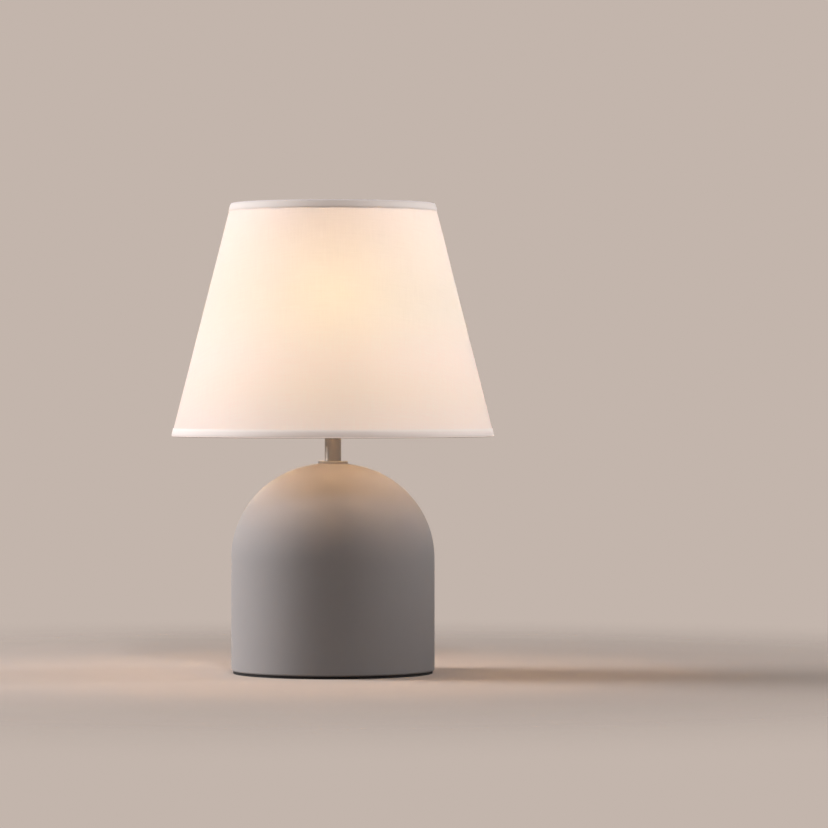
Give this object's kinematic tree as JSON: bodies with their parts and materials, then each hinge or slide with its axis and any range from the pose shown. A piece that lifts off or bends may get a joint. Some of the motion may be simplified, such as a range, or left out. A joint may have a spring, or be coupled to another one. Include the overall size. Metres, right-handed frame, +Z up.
{
  "type": "table lamp",
  "caption": "Small table lamp: a round-topped matte grey ceramic base, a short satin metal neck and a tapered woven shade over a lit bulb.",
  "frame": {"origin": "centre of the foot, on the surface that the lamp stands on", "axes": "+Z up along the lamp's axis, -Y the front, +Y the back with the cord inlet and the shade's seam"},
  "size_m": [0.2498, 0.2498, 0.3628],
  "materials": {
    "ceramic_grey": "matte",
    "washer_grey": "matte",
    "foam_black": "matte",
    "rubber_black": "matte",
    "plate_steel": "satin",
    "zinc_steel": "satin",
    "satin_nickel": "satin",
    "block_plastic": "matte",
    "brass": "satin",
    "lead_brown": "satin",
    "lead_blue": "satin",
    "holder_white": "satin",
    "screw_black": "matte",
    "insert_ceramic": "matte",
    "wire_white": "satin",
    "shade_cloth": "matte",
    "trim_cloth": "matte",
    "liner_film": "matte",
    "tip_metal": "satin",
    "cap_nickel": "satin",
    "insulator_black": "gloss",
    "bulb_white": "satin",
    "globe_opal": "satin",
    "spreader_metal": "satin",
    "board_white": "satin",
    "board_green": "satin",
    "parts_dark": "satin",
    "chip_yellow": "satin"
  },
  "bodies": {
    "base": {"foot_pad": "foam_black", "base_plate": "plate_steel", "base_dome": "ceramic_grey", "cord_grommet": "rubber_black", "terminal_block": "block_plastic", "brass_terminals": "brass", "terminal_screws": "zinc_steel", "block_screw": "zinc_steel", "brown_lead": "lead_brown", "blue_lead": "lead_blue", "inner_nut": "zinc_steel", "inner_washer": "zinc_steel", "threaded_rod": "zinc_steel", "neck_washer": "washer_grey", "neck_tube": "satin_nickel", "holder_cap": "holder_white", "holder_grub_screw": "screw_black", "holder_insert": "insert_ceramic", "holder_screws": "brass", "centre_contact": "brass", "side_contact": "brass", "holder_shell": "holder_white", "lower_ring": "holder_white"},
    "ring": {"clamp_ring": "holder_white"},
    "shade": {"fitter_ring": "wire_white", "fitter_arms": "wire_white", "bottom_ring_wire": "wire_white", "top_ring_wire": "wire_white", "shade_fabric": "shade_cloth", "shade_liner": "liner_film", "bottom_hem": "trim_cloth", "top_hem": "trim_cloth"},
    "bulb_tip": {"bulb_contact": "tip_metal"},
    "bulb": {"bulb_insulator": "insulator_black", "bulb_cap": "cap_nickel", "bulb_housing": "bulb_white", "heat_spreader": "spreader_metal", "light_board": "board_white", "light_chips": "chip_yellow", "driver_board": "board_green", "driver_parts": "parts_dark", "bulb_globe": "globe_opal"}
  },
  "joints": [
    {"name": "shade_turn", "type": "hinge", "parent": "base", "child": "shade", "pos_m": [0, 0, 0.2122], "axis": [0, 0, 1], "continuous": true},
    {"name": "ring_turn", "type": "hinge", "parent": "base", "child": "ring", "pos_m": [0, 0, 0.2136], "axis": [0, 0, 1], "continuous": true},
    {"name": "bulb_lift", "type": "slide", "parent": "base", "child": "bulb_tip", "axis": [0, 0, 1], "range_m": [0, 0.01452]},
    {"name": "bulb_turn", "type": "hinge", "parent": "bulb_tip", "child": "bulb", "pos_m": [0, 0, 0.215], "axis": [0, 0, 1], "range_deg": [0, 1440]}
  ],
  "couplings": [
    {"joint": "bulb_lift", "follows": "bulb_turn", "m_per_rad": 0.00057757}
  ]
}
